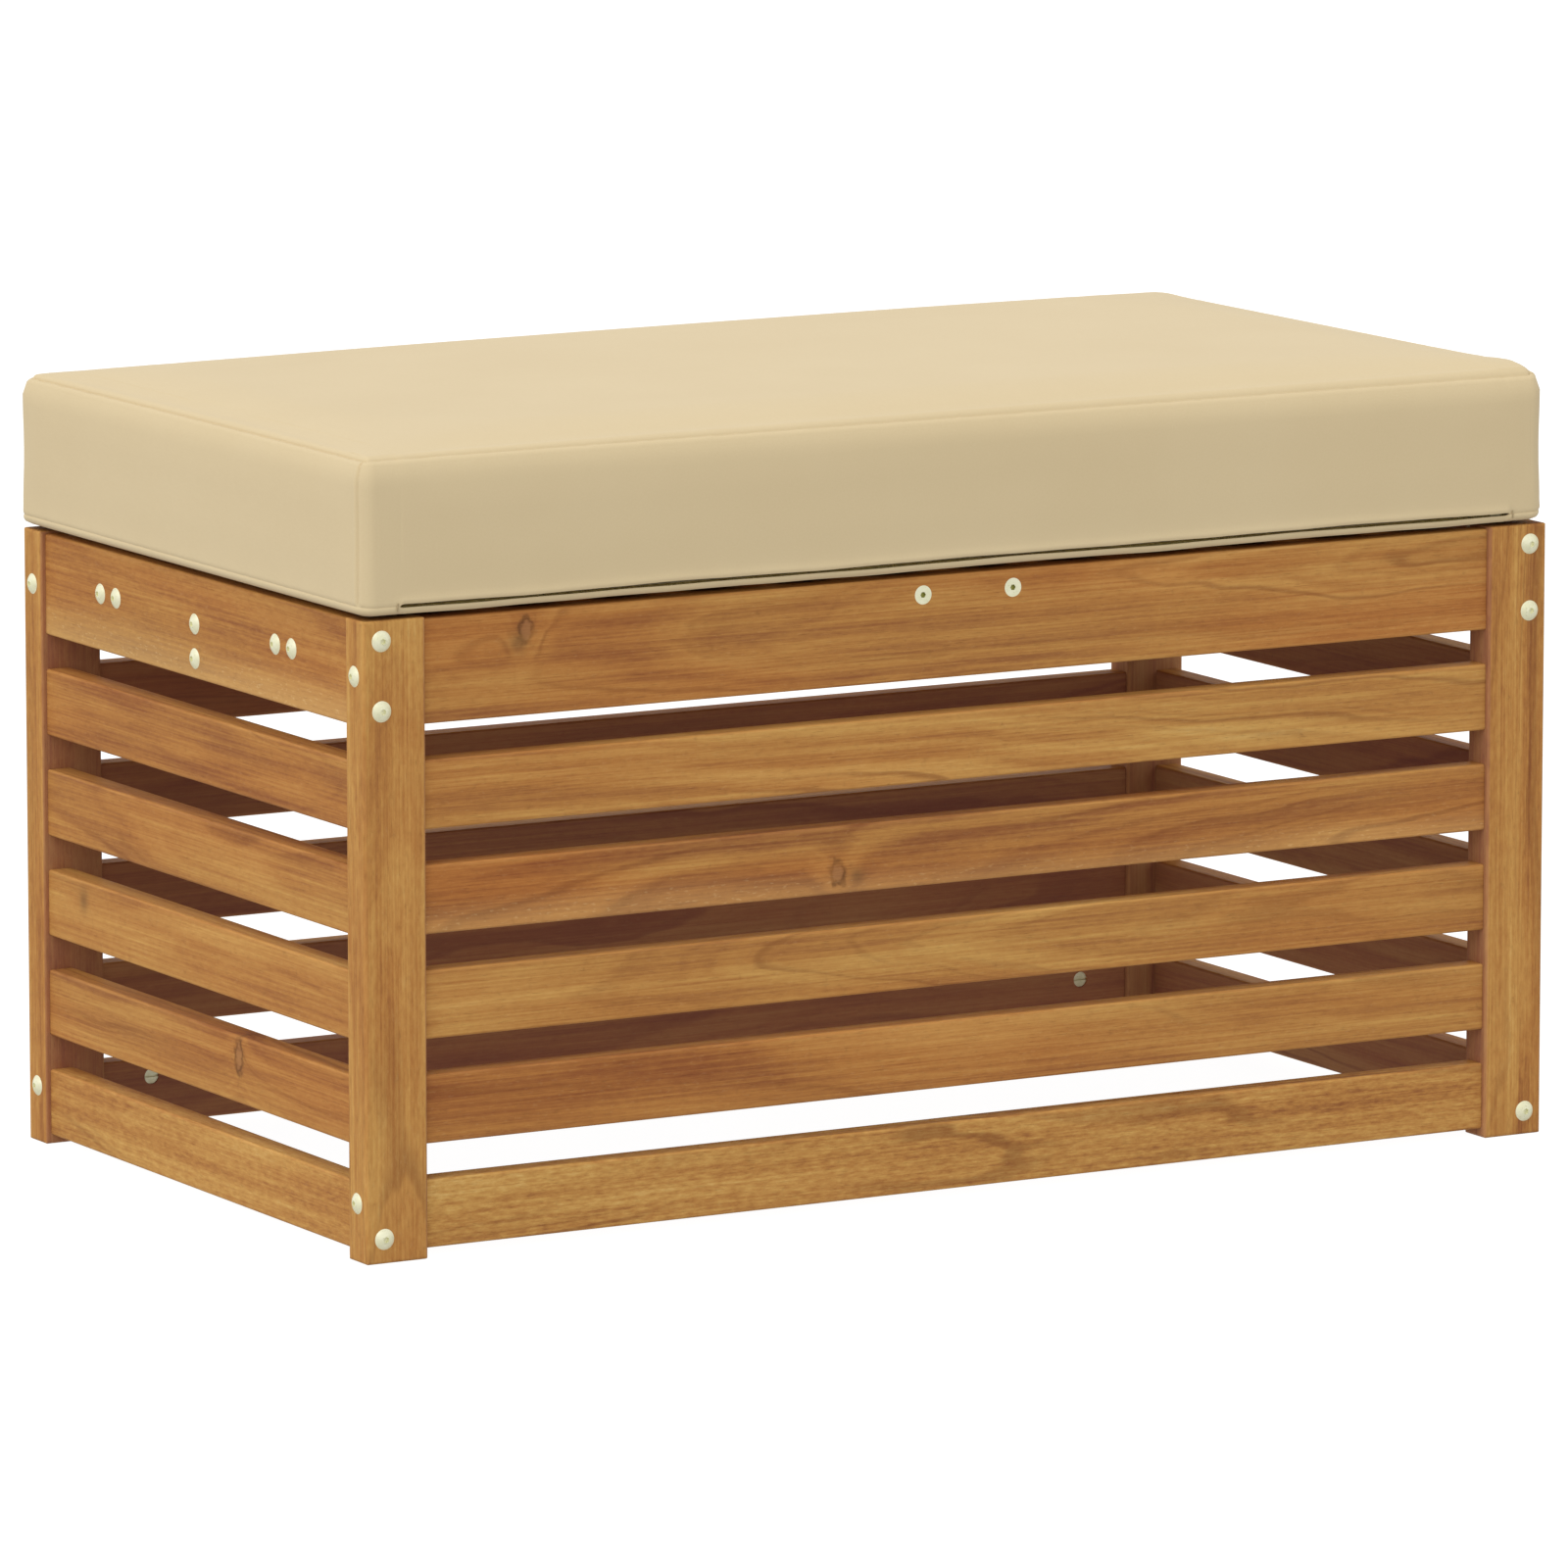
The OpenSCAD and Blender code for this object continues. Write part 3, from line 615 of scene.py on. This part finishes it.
    # Roll from the bottom seam to the underside
    set_back = -LOWER_LIP_BACK * zipped
    low_r = seam_low - gap - 0.5 * MM - EDGE_LIFT
    length = 0.5 * MM + low_r * math.pi / 2
    under = []
    for s in (*STEPS, None):
        travelled = length if s is None else np.minimum(zero + s, length)
        turn = np.clip((travelled - 0.5 * MM) / low_r, 0, math.pi / 2)
        straight = np.minimum(travelled, 0.5 * MM)
        bump = zero
        if s is not None:
            bump = (groove(s, low_valley, roll) * (1 - zipped)
                    + pucker(0.3) * math.exp(-s / (2 * MM)))
        under.append(row(set_back - low_r * (1 - np.cos(turn)),
                         seam_low - gap - straight - low_r * np.sin(turn) + inset,
                         -turn, bump))
    under.append(row(zero - BOTTOM_IN, zero + EDGE_LIFT * 0.9 + inset, 0.0, zero))

    # Top and underside
    def sheet(radius):
        flat = plan(grid, radius)
        return flat, radius * (1 - np.abs(grid[..., 1]).max(-1))

    flat, d = sheet(CORNER - TOP_IN - inset)
    tilt = np.arccos(np.clip(1 - (TOP_IN + d) / SHOULDER, 0, 1))
    rim = np.abs(grid[..., 1]).max(-1) >= 1
    over = plan(grid, CORNER)
    crown = np.where(rim, 0, crown_height(flat[..., 0], flat[..., 1]))
    height = (seam_height(over[..., 0], over[..., 1]) - inset + crown
              + SHOULDER * (np.sin(tilt) - math.sin(SEAM_TURN)))
    edge_pucker = np.zeros((n, m))
    ring_pucker = pucker(0)
    for index, (i, j) in enumerate(ring):
        edge_pucker[i, j] = ring_pucker[index]
    for k in range(1, len(STEPS) + 3):      # carry the puckers inwards from the edge
        fade = math.exp(-k * 0.16)
        edge_pucker[k, k:m - k] = edge_pucker[0, k:m - k] * fade
        edge_pucker[-1 - k, k:m - k] = edge_pucker[-1, k:m - k] * fade
        edge_pucker[k:n - k, k] = edge_pucker[k:n - k, 0] * fade
        edge_pucker[k:n - k, -1 - k] = edge_pucker[k:n - k, -1] * fade
    out = plan(grid, 1.0) - grid[..., 0]
    length = np.linalg.norm(out, axis=-1, keepdims=True)
    out = out / np.where(length > 0, length, 1)
    bump = groove(d, top_valley + end_valley * out[..., 0] ** 2, roll) + edge_pucker
    top = np.concatenate([flat + out * (bump * np.cos(tilt))[..., None],
                          (height + bump * np.sin(tilt))[..., None]], -1)
    flat, _ = sheet(CORNER - BOTTOM_IN - inset)
    x, y = flat[..., 0], flat[..., 1]
    from_edge = np.minimum(HALF_X - np.abs(x), HALF_Y - np.abs(y)) - BOTTOM_IN - inset
    height = EDGE_LIFT * 0.9 * (1 - smoothstep(from_edge, -6 * MM, 34 * MM)) + inset
    height = np.where(rim, EDGE_LIFT * 0.9 + inset, height)
    bottom = np.concatenate([flat, height[..., None]], -1)
    open_columns = np.nonzero((np.abs(outline[:, 0]) <= ZIP_HALF + 1e-6) & (front > 0.999))[0]
    return top, np.array(band), np.array(under), bottom, open_columns, seam_low


def pocket_rows(upper, lower, middle):
    """The hollow behind the zip's lips, from the upper lip round to the lower one. The
    profile's pairs are mm back from the front and mm up from the upper lip, and mirrored
    down from the lower one."""
    profile = [(2.6, 0.0), (3.6, 0.4), (4.1, 2.4), (4.4, 4.8), (7.5, 5.25), (11.4, 5.1)]
    deepest = 11.8

    def level(back, heights):
        return np.column_stack([upper[:, 0], 0 * middle - HALF_Y + back * MM, heights])

    rows = [level(back, upper[:, 2] + up * MM) for back, up in profile]
    rows.append(level(deepest, middle))
    rows += [level(back, lower[:, 2] - up * MM) for back, up in profile[::-1]]
    return np.array([upper, *rows, lower])


# ---- Swelling ----

SIM_FRAMES = 12
SIM_ROUNDING = 12 * MM
SIM_VOXEL = 6 * MM
SIM_HEIGHT = 104 * MM
FULL_HEIGHT = 116 * MM                # the cushion's height at rest
SIDE_SHARE, LIFT_SHARE = 0.16, 0.30   # how much of the simulated moves the firm foam allows
MOST_IN, MOST_OUT, MOST_UP = 2 * MM, 0.8 * MM, 24 * MM


def simulated_swell():
    """How the block's skin moves when it is blown up as cloth: points, as shares of the
    block's sizes, and their moves."""
    size = Vector((2 * HALF_X - SIM_ROUNDING, 2 * HALF_Y - SIM_ROUNDING, SIM_HEIGHT))
    mesh = bpy.data.meshes.new("swell")
    bm = bmesh.new()
    bmesh.ops.create_cube(bm, size=1)
    for v in bm.verts:
        v.co = Vector((v.co.x * size.x, v.co.y * size.y, (v.co.z + 0.5) * size.z))
    bmesh.ops.bevel(bm, geom=bm.edges[:], offset=SIM_ROUNDING, segments=3, affect="EDGES",
                    profile=0.5)
    bm.to_mesh(mesh)
    bm.free()
    proxy = bpy.data.objects.new("swell", mesh)
    scene.collection.objects.link(proxy)
    remesh = proxy.modifiers.new("voxels", "REMESH")
    remesh.mode, remesh.voxel_size = "VOXEL", SIM_VOXEL
    graph = bpy.context.evaluated_depsgraph_get()
    fine = bpy.data.meshes.new_from_object(proxy.evaluated_get(graph))
    proxy.modifiers.clear()
    proxy.data = fine
    before = coordinates(fine)
    modifier = proxy.modifiers.new("cloth", "CLOTH")
    settings = modifier.settings
    settings.use_pressure = True
    settings.uniform_pressure_force = 4
    settings.quality = 5
    settings.mass = 0.3
    settings.tension_stiffness = settings.compression_stiffness = 15
    settings.shear_stiffness = 5
    settings.bending_stiffness = 0.5
    settings.effector_weights.gravity = 0
    modifier.collision_settings.use_collision = False
    modifier.point_cache.frame_start = 1
    modifier.point_cache.frame_end = SIM_FRAMES
    for number in range(1, SIM_FRAMES + 1):
        scene.frame_set(number)
    graph = bpy.context.evaluated_depsgraph_get()
    after = coordinates(proxy.evaluated_get(graph).data)
    bpy.data.objects.remove(proxy)
    for used in (mesh, fine):
        bpy.data.meshes.remove(used)
    scene.frame_set(1)
    return before / np.array(size), after - before


def coordinates(mesh):
    """The mesh's points as rows of numbers."""
    flat = np.zeros(len(mesh.vertices) * 3, np.float32)
    mesh.vertices.foreach_get("co", flat)
    return flat.reshape(-1, 3).astype(float)


swell = simulated_swell()
if swell:
    swell_tree = KDTree(len(swell[0]))
    for number, point in enumerate(swell[0]):
        swell_tree.insert(point, number)
    swell_tree.balance()


def smoothstep(value, low, high):
    """0 below low, 1 above high, with a smooth step between"""
    t = np.clip((value - low) / (high - low), 0, 1)
    return t * t * (3 - 2 * t)


def swollen(points):
    """Moves points of the cushion as the simulated skin moves, but far less, because firm
    foam fills it. The part below the zip's pocket keeps its place."""
    shape = points.shape
    points = points.reshape(-1, 3).copy()
    if swell is None:
        return points.reshape(shape)
    unit = points / np.array([2 * HALF_X, 2 * HALF_Y, FULL_HEIGHT])
    moves = np.zeros_like(points)
    for number, place in enumerate(unit):
        found = swell_tree.find_n(place, 5)
        weights = [1 / (distance + 1e-3) for _, _, distance in found]
        total = sum(weights)
        for (_, index, _), weight in zip(found, weights):
            moves[number] += swell[1][index] * (weight / total)
    high = smoothstep(points[:, 2], 18 * MM, 50 * MM)[:, None]
    sideways = moves[:, :2] * SIDE_SHARE * high
    outward = np.sign(points[:, :2])
    sideways = np.clip(sideways * outward, -MOST_IN, MOST_OUT) * outward
    near_top = smoothstep(points[:, 2], 100 * MM, 114 * MM)
    points[:, :2] += sideways
    points[:, 2] += np.clip(moves[:, 2], 0, MOST_UP) * LIFT_SHARE * near_top
    return points.reshape(shape)


def smooth_object(name, bm):
    """A new smooth-shaded object from the bmesh, which is freed."""
    mesh = bpy.data.meshes.new(name)
    bm.to_mesh(mesh)
    bm.free()
    mesh.shade_smooth()
    made = bpy.data.objects.new(name, mesh)
    scene.collection.objects.link(made)
    return made


def add_patch(bm, rows, closed=False):
    """Quads between neighbouring rows of points. Returns the vertices by row."""
    verts = [[bm.verts.new(p) for p in row] for row in rows]
    for first, second in zip(verts, verts[1:]):
        count = len(first)
        for k in range(count if closed else count - 1):
            bm.faces.new((first[k], first[(k + 1) % count], second[(k + 1) % count],
                          second[k]))
    return verts


def cushion_skin(name, lines_x, lines_y, inset=0.0, sewn=True):
    """The swollen skin as one closed object. The sewn one has the zip's pocket, and its second
    material, the darker tape cloth, goes on the pocket and on the strip under the opening,
    where its colour is partly painted shade under the upper lip."""
    top, band, under, bottom, open_columns, seam_low = shell(lines_x, lines_y, inset, sewn)
    patches = [top, band, under, bottom]
    pocket = None
    if sewn:
        upper, lower = band[-1][open_columns], under[0][open_columns]
        pocket = pocket_rows(upper, lower, seam_low[open_columns])
        patches.append(pocket)
    bm = bmesh.new()
    for patch in patches:
        shifted = swollen(patch) + np.array(cushion_at)
        verts = add_patch(bm, shifted)
        # The pocket and the strip under the opening take the tape cloth; on the strip its
        # darker colour is partly painted shade under the upper lip
        placket_and_lip_shade = []
        if patch is under and sewn:
            placket_and_lip_shade = [verts[k][column] for k in range(6) for column in open_columns[1:-1]]
        if patch is pocket:
            placket_and_lip_shade = [vert for row in verts for vert in row]
            for end in (0, -1):
                bm.faces.new([row[end] for row in verts[:-1]])
        for vert in placket_and_lip_shade:
            for face in vert.link_faces:
                face.material_index = 1
    bmesh.ops.remove_doubles(bm, verts=bm.verts, dist=0.01 * MM)
    bmesh.ops.recalc_face_normals(bm, faces=bm.faces)
    return smooth_object(name, bm)


# Grid lines of the cover and the foam: shares of the corner radius, then steps in from it
SHARES = [1, 0.9, 0.8, 0.7, 0.6, 0.5, 0.41, 0.34, 0.29, 0.25, 0.22, 0.19, 0.15, 0.1, 0.05]
EDGE_STEPS = [t * MM for t in (0, 0.3, 0.7, 1.3, 2.2, 3.5, 5.5, 8.5, 12.5)]
ZIP_LINES = [ZIP_HALF - t * MM for t in (0, 0.2, 0.6, 1.4, 3.0, 6.0)]
cushion = cushion_skin("cushion_fabric_cover",
                       grid_lines(HALF_X, 6 * MM, SHARES, EDGE_STEPS, ZIP_LINES),
                       grid_lines(HALF_Y, 6 * MM, SHARES, EDGE_STEPS))
give(cushion, cover_cloth, tape_and_lip_shade_cloth)
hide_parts("cushion_cover")
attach(cushion, "cushion")

FOAM_SHARES, FOAM_STEPS = [1, 0.8, 0.5, 0.2], [0, 4 * MM, 11 * MM]
ZIP_ROOM_UP, ZIP_ROOM_BACK, ZIP_ROOM_PAST = 22 * MM, 14 * MM, 8 * MM
foam = cushion_skin("cushion_foam_block",
                    grid_lines(HALF_X, 12 * MM, FOAM_SHARES, FOAM_STEPS),
                    grid_lines(HALF_Y, 12 * MM, FOAM_SHARES, FOAM_STEPS),
                    inset=2.6 * MM, sewn=False)
for vertex in foam.data.vertices:      # room behind the front for the zip
    along = abs(vertex.co.x - cushion_at.x)
    up = vertex.co.z - cushion_at.z
    from_front = vertex.co.y + HALF_Y
    if along < ZIP_HALF + ZIP_ROOM_PAST and up < ZIP_ROOM_UP and from_front < ZIP_ROOM_BACK:
        vertex.co.y = -HALF_Y + ZIP_ROOM_BACK
give(foam, open_foam())
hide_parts("cushion_foam")
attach(foam, "cushion")


# ---- The zip ----

slider_low, slider_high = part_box("zip_slider")
ZIP_Z = (slider_low.z + slider_high.z) / 2
COIL_Y = (slider_low.y + slider_high.y) / 2


def tube(name, paths, radius, sides):
    """Closed round tubes along lists of points."""
    bm = bmesh.new()
    for path in paths:
        rings = []
        points = [Vector(p) for p in path]
        for k, point in enumerate(points):
            ahead = (points[min(k + 1, len(points) - 1)] - points[max(k - 1, 0)]).normalized()
            side = ahead.cross(Vector((0.31, 0.17, 0.94))).normalized()
            up = ahead.cross(side)
            rings.append([bm.verts.new(point + (side * math.cos(a) + up * math.sin(a)) * radius)
                          for a in (2 * math.pi * s / sides for s in range(sides))])
        for first, second in zip(rings, rings[1:]):
            for s in range(sides):
                t = (s + 1) % sides
                bm.faces.new((first[s], first[t], second[t], second[s]))
        bm.faces.new(rings[0][::-1])
        bm.faces.new(rings[-1])
    bmesh.ops.recalc_face_normals(bm, faces=bm.faces)
    return smooth_object(name, bm)


def coil_paths():
    """Each coil is one squashed spiral of monofilament, wound along the zip."""
    pitch, steps, coil_w, between = 1.6 * MM, 6, 2.05 * MM, 0.45 * MM
    half_deep, half_wide = 0.75 * MM, 0.78 * MM
    turns = int((2 * ZIP_HALF + 6 * MM) / pitch)
    paths = []
    for side in (-1, 1):
        centre = ZIP_Z + side * (between + coil_w / 2)
        path = []
        for k in range(turns * steps + 1):
            angle = 2 * math.pi * k / steps
            x = cushion_at.x - turns * pitch / 2 + pitch * k / steps
            path.append((x, COIL_Y + half_deep * math.sin(angle),
                         centre + side * half_wide * math.cos(angle)))
        paths.append(path)
    return paths


def glossy(name, pale, dark, roughness):
    """Dyed polyester or nylon, with a soft shine and dust in it."""
    made, net, shader = material(name)
    place = net.add("TexCoord").outputs["Object"]
    cloud = net.noise(place, detail=3.0, scale=90)
    fine = net.noise(place, detail=2.0, scale=1800)
    colour = net.mix(net.smooth(cloud, 0.3, 0.7), pale, dark)
    finish_surface(net, shader, colour, net.sum(roughness, net.scaled(fine, 0.2, 0.5)), fine,
                   0.03 * MM, 0.5)
    return made


coils = tube("zip_coil_pair", coil_paths(), 0.27 * MM, 4)
give(coils, glossy("coil_nylon", srgb(226, 198, 112), srgb(212, 182, 96), 0.38))
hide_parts("zip_coil")
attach(coils, "cushion")


def zip_tapes():
    """Two woven tapes, each turned forward behind its lip and sewn to it."""
    half_t = 0.25 * MM
    path = [(COIL_Y, 1.5), (COIL_Y, 4.6), (COIL_Y - 0.5 * MM, 5.2), (COIL_Y - 1.6 * MM, 5.35),
            (COIL_Y - 3.0 * MM, 5.2), (COIL_Y - 3.45 * MM, 4.5), (COIL_Y - 3.5 * MM, 3.0)]
    bm = bmesh.new()
    count = 160
    for side in (-1, 1):
        line = [Vector((y, z * MM)) for y, z in path]
        left, right = [], []
        for k, point in enumerate(line):
            ahead = (line[min(k + 1, len(line) - 1)] - line[max(k - 1, 0)]).normalized()
            across = Vector((-ahead.y, ahead.x)) * half_t
            left.append(point + across)
            right.append(point - across)
        loop = left + right[::-1]
        rows = []
        for k in range(count + 1):
            x = cushion_at.x + (ZIP_HALF - 0.4 * MM) * (2 * k / count - 1)
            rows.append([(x, p.x, ZIP_Z + side * p.y) for p in loop])
        verts = add_patch(bm, rows, closed=True)
        bm.faces.new(verts[0][::-1])
        bm.faces.new(verts[-1])
    bmesh.ops.recalc_face_normals(bm, faces=bm.faces)
    return smooth_object("zip_tape_pair", bm)


tapes = zip_tapes()
give(tapes, tape_and_lip_shade_cloth)
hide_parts("zip_tape")
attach(tapes, "cushion")


def prism(bm, outline, y0, y1):
    """A flat plate: an outline in x and z, from y0 to y1."""
    near = [bm.verts.new((x * MM, y0 * MM, z * MM)) for x, z in outline]
    far = [bm.verts.new((x * MM, y1 * MM, z * MM)) for x, z in outline]
    bm.faces.new(near)
    bm.faces.new(far[::-1])
    for k in range(len(outline)):
        t = (k + 1) % len(outline)
        bm.faces.new((near[k], far[k], far[t], near[t]))


def slider_body():
    """The zip's slider, in mm from its middle: two shaped plates with flanges, joined by
    the blade, and a flat lug for a pull on the front plate."""
    half = [(-4.8, 2.5), (-4.3, 3.1), (-3.0, 3.6), (-0.5, 3.85), (2.4, 3.6), (4.1, 2.9),
            (4.8, 1.9)]
    outline = half + [(x, -z) for x, z in half[::-1]]
    bm = bmesh.new()
    for side in (-1, 1):
        prism(bm, outline, side * 1.35, side * 2.15)
        for edge in (-1, 1):
            flange = [(x, edge * z) for x, z in half[1:-1]]
            flange += [(x, edge * (z - 0.6)) for x, z in half[1:-1][::-1]]
            prism(bm, flange, side * 0.72, side * 1.4)
    prism(bm, [(1.2, 0.17), (4.4, 0.17), (4.4, -0.17), (1.2, -0.17)], -1.4, 1.4)
    prism(bm, [(-2.6, 0.55), (1.6, 0.55), (1.6, -0.55), (-2.6, -0.55)], -2.2, -1.8)
    bmesh.ops.recalc_face_normals(bm, faces=bm.faces)
    made = smooth_object("zip_slider_body", bm)
    made.location = ((slider_low.x + slider_high.x) / 2, COIL_Y, ZIP_Z)
    bevel = made.modifiers.new("soft_edges", "BEVEL")
    bevel.width, bevel.segments, bevel.limit_method = 0.14 * MM, 2, "ANGLE"
    made.modifiers.new("flat_faces", "WEIGHTED_NORMAL")
    return made


slider = slider_body()
give(slider, zinc("zip_slider_metal", srgb(196, 186, 150), srgb(170, 160, 122), 0.3))
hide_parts("zip_slider")
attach(slider, "zip_slider")


def bar_tacks():
    """Close zigzags of thread across the seam at both ends of the zip."""
    stitches, height, half_wide, past_end = 22, 8 * MM, 0.9 * MM, 2.2 * MM
    paths = []
    for side in (-1, 1):
        middle = cushion_at.x + side * (ZIP_HALF + past_end)
        path = []
        for k in range(stitches + 1):
            share = k / stitches - 0.5
            away = 0.1 * MM - 0.3 * MM * math.cos(math.pi * share)
            path.append((middle + (-1) ** k * half_wide, -HALF_Y + away,
                         ZIP_Z + share * height))
        paths.append(path)
    return tube("zip_bar_tacks", paths, 0.2 * MM, 5)


tacks = bar_tacks()
give(tacks, glossy("sewing_thread", srgb(222, 203, 164), srgb(214, 195, 156), 0.7))
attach(tacks, "cushion")


# ---- Floor, light and camera ----

FLOOR_GLOW, FLOOR_GLOW_SEEN = 0.42, 0.55   # for all rays, and added for the camera's
SKY_STRENGTH = 0.84
KEY_TOWARDS, KEY_STRENGTH, KEY_ANGLE = (-0.24, -0.1, 0.28), 1.19, 60
CAMERA_AT, CAMERA_LENS = (-4.3766, -7.6617, 1.7326), 273.74
CAMERA_DOWN, CAMERA_TURN = 9.4215, -29.7279   # degrees below level, and round from +Y


def pale_floor():
    """A floor that lights the object from below softly and is white to the camera."""
    bm = bmesh.new()
    bmesh.ops.create_grid(bm, x_segments=2, y_segments=2, size=40)
    made = smooth_object("floor", bm)
    paint, net, shader = material("pale_floor")
    grain = net.noise(net.add("TexCoord").outputs["Object"], detail=2.0, scale=6)
    seen = net.add("LightPath").outputs["Is Camera Ray"]
    colour = net.mix(grain, (0.18, 0.18, 0.18, 1), (0.14, 0.14, 0.14, 1))
    finish_surface(net, shader, colour, net.sum(0.9, net.scaled(grain, 0.05)), grain,
                   0.1 * MM, 0.1, Specular_IOR_Level=0.0, Emission_Color=(1, 1, 1, 1))
    net.feed(shader.inputs["Emission Strength"],
             net.sum(net.scaled(seen, FLOOR_GLOW_SEEN), FLOOR_GLOW))
    give(made, paint)


def soft_sky_light(name, towards, strength, angle):
    """A very wide distant light, as from a large soft box."""
    data = bpy.data.lights.new(name, "SUN")
    data.energy, data.angle = strength, math.radians(angle)
    lamp = bpy.data.objects.new(name, data)
    lamp.rotation_euler = Vector(towards).to_track_quat("Z", "Y").to_euler()
    scene.collection.objects.link(lamp)


def studio():
    """An even white sky with one very soft light from the front left."""
    world = bpy.data.worlds.new("studio")
    world.use_nodes = True
    background = world.node_tree.nodes["Background"]
    background.inputs["Color"].default_value = (1, 1, 1, 1)
    background.inputs["Strength"].default_value = SKY_STRENGTH
    scene.world = world
    soft_sky_light("key", KEY_TOWARDS, KEY_STRENGTH, KEY_ANGLE)


def photo_camera():
    """A long lens from the front left, a little above the cushion."""
    data = bpy.data.cameras.new("camera")
    data.lens, data.sensor_width = CAMERA_LENS, 36.0
    data.clip_end = 200
    ob = bpy.data.objects.new("camera", data)
    ob.location = CAMERA_AT
    ob.rotation_euler = (math.radians(90 - CAMERA_DOWN), 0, math.radians(CAMERA_TURN))
    scene.collection.objects.link(ob)
    scene.camera = ob


pale_floor()
studio()
photo_camera()
scene.view_settings.view_transform = "Standard"
